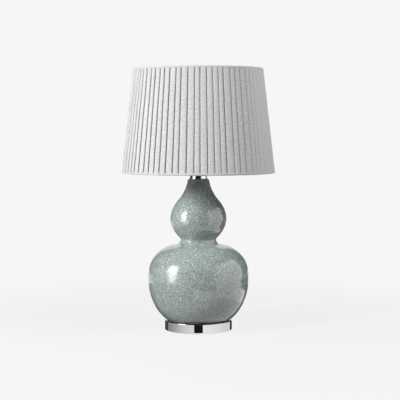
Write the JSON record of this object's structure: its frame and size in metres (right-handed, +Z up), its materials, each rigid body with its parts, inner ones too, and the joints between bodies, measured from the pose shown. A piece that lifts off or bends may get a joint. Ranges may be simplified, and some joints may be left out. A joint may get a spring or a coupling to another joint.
{
  "type": "table lamp",
  "caption": "Table lamp with a hollow double gourd ceramic body on a round metal plinth, a push-bar lampholder and a pleated empire shade.",
  "frame": {"origin": "centre of the felt pad's underside, on the table", "axes": "+Z up along the rod, -Y to the front, +Y to the cord outlet at the back, +X along the push bar"},
  "size_m": [0.355, 0.355, 0.6081],
  "materials": {
    "felt": "matte felt",
    "hardboard": "raw board",
    "plinth_chrome": "polished chrome plate",
    "chrome": "polished chrome plate",
    "black_plastic": "moulded, fine texture",
    "brass": "bright",
    "zinc_steel": "zinc plated",
    "black_rubber": "matte",
    "crackle_glaze": "glossy crackle glaze",
    "porcelain": "satin",
    "liner_sheet": "satin white sheet",
    "white_wire": "white enamel",
    "pleated_cloth": "slub weave, matte",
    "binding_cloth": "slub weave, matte",
    "solder": "dull",
    "nickel": "nickel plate",
    "white_plastic": "satin",
    "opal_diffuser": "opal satin"
  },
  "bodies": {
    "stand": {"felt_pad": "felt", "base_board": "hardboard", "plinth": "plinth_chrome", "cord_grommet": "black_plastic", "earth_tag": "brass", "rod_washer": "zinc_steel", "lock_washer": "zinc_steel", "rod_nut": "zinc_steel", "threaded_rod": "zinc_steel", "foot_gasket": "black_rubber", "gourd_body": "crackle_glaze", "neck_washer": "black_rubber", "vase_cap": "chrome", "neck_nut": "zinc_steel", "lampholder_cap": "chrome", "grub_screw": "zinc_steel", "switch_block": "black_plastic", "terminal_screws": "brass", "lampholder_shell": "chrome", "porcelain_insert": "porcelain", "screw_shell": "brass", "centre_contact": "brass"},
    "push_bar": {"push_bar": "black_plastic", "push_button_right": "black_plastic", "push_button_left": "black_plastic"},
    "shade": {"shade_liner": "liner_sheet", "bottom_ring": "white_wire", "top_ring": "white_wire", "pleated_cover": "pleated_cloth", "bottom_binding": "binding_cloth", "top_binding": "binding_cloth", "fitter_plate": "white_wire", "fitter_arm_rear": "white_wire", "fitter_arm_left": "white_wire", "fitter_arm_right": "white_wire"},
    "shade_ring": {"shade_ring": "chrome"},
    "lamp": {"lamp_contact": "solder", "lamp_insulator": "black_plastic", "lamp_screw_cap": "nickel", "lamp_collar": "white_plastic", "lamp_globe": "opal_diffuser"}
  },
  "joints": [
    {"name": "shade_lift", "type": "slide", "parent": "stand", "child": "shade", "axis": [0, 0, 1], "range_m": [0, 0.115]},
    {"name": "shade_ring_turn", "type": "hinge", "parent": "shade", "child": "shade_ring", "pos_m": [0, 0, 0.405], "axis": [0, 0, 1], "continuous": true},
    {"name": "lamp_out", "type": "slide", "parent": "stand", "child": "lamp", "axis": [0, 0, 1], "range_m": [0, 0.06]},
    {"name": "switch_bar_push", "type": "slide", "parent": "stand", "child": "push_bar", "axis": [-1, 0, 0], "range_m": [0, 0.007]}
  ]
}
